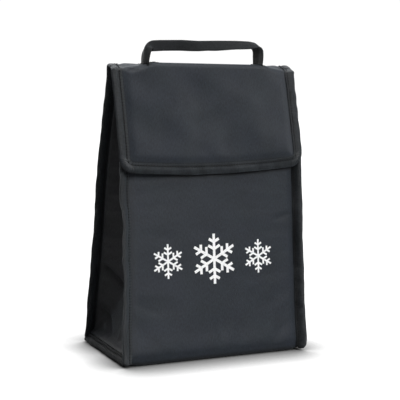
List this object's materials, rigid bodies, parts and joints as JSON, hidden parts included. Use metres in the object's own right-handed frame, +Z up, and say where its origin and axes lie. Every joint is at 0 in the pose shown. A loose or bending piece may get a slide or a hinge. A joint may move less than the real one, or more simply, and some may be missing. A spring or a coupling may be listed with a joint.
{
  "type": "insulated cooler bag",
  "caption": "Upright insulated lunch bag with a fold-over flap, hook-and-loop closure, bound side seams and a top strap handle.",
  "frame": {"origin": "centre of the bag's footprint, on the floor", "axes": "+Z up, -Y to the front where the flap hangs, +X to the bag's right as seen from the front"},
  "size_m": [0.2, 0.118, 0.316],
  "materials": {
    "fabric": "matt diagonal weave polyester",
    "binding": "ribbed binding tape",
    "webbing": "folded strap",
    "foam": "closed-cell foam sheet",
    "foil": "metallised lining",
    "closure": "hook and loop tape",
    "print": "white screen print"
  },
  "bodies": {
    "shell": {"back_binding_left": "binding", "back_binding_right": "binding", "back_foam": "foam", "back_lining": "foil", "back_outer": "fabric", "base_binding_left": "binding", "base_binding_right": "binding", "base_foam": "foam", "base_lining": "foil", "base_outer": "fabric", "gusset_left_foam": "foam", "gusset_left_lining": "foil", "gusset_left_outer": "fabric", "gusset_right_foam": "foam", "gusset_right_lining": "foil", "gusset_right_outer": "fabric"},
    "front_wall": {"front_binding_left": "binding", "front_binding_right": "binding", "front_foam": "foam", "front_hem": "binding", "front_lining": "foil", "front_outer": "fabric", "front_print_centre": "print", "front_print_left": "print", "front_print_right": "print", "loop_tape": "closure"},
    "crest": {"crest_binding_left": "binding", "crest_binding_right": "binding", "crest_foam": "foam", "crest_lining": "foil", "crest_outer": "fabric", "handle_end_left": "webbing", "handle_end_right": "webbing", "handle_foot_left": "webbing", "handle_foot_right": "webbing"},
    "flap": {"flap_binding": "binding", "flap_foam": "foam", "flap_lining": "foil", "flap_outer": "fabric", "hook_tape": "closure"},
    "handle": {"handle_strap": "webbing"}
  },
  "joints": [
    {"name": "flap_fold", "type": "hinge", "parent": "crest", "child": "flap", "pos_m": [0, -0.0315, 0.2866], "axis": [-1, 0, 0], "range_deg": [0, 100]},
    {"name": "crest_fold", "type": "hinge", "parent": "shell", "child": "crest", "pos_m": [0, -0.0108, 0.2862], "axis": [-1, 0, 0], "range_deg": [0, 80]},
    {"name": "front_lean", "type": "hinge", "parent": "shell", "child": "front_wall", "pos_m": [0, -0.0588, 0.001], "axis": [1, 0, 0], "range_deg": [0, 9]},
    {"name": "handle_swing", "type": "hinge", "parent": "crest", "child": "handle", "pos_m": [0, -0.021, 0.303], "axis": [1, 0, 0], "range_deg": [-95, 95]}
  ],
  "couplings": [
    {"joint": "crest_fold", "follows": "flap_fold", "ratio": 0.8},
    {"joint": "front_lean", "follows": "flap_fold", "ratio": 0.09}
  ]
}
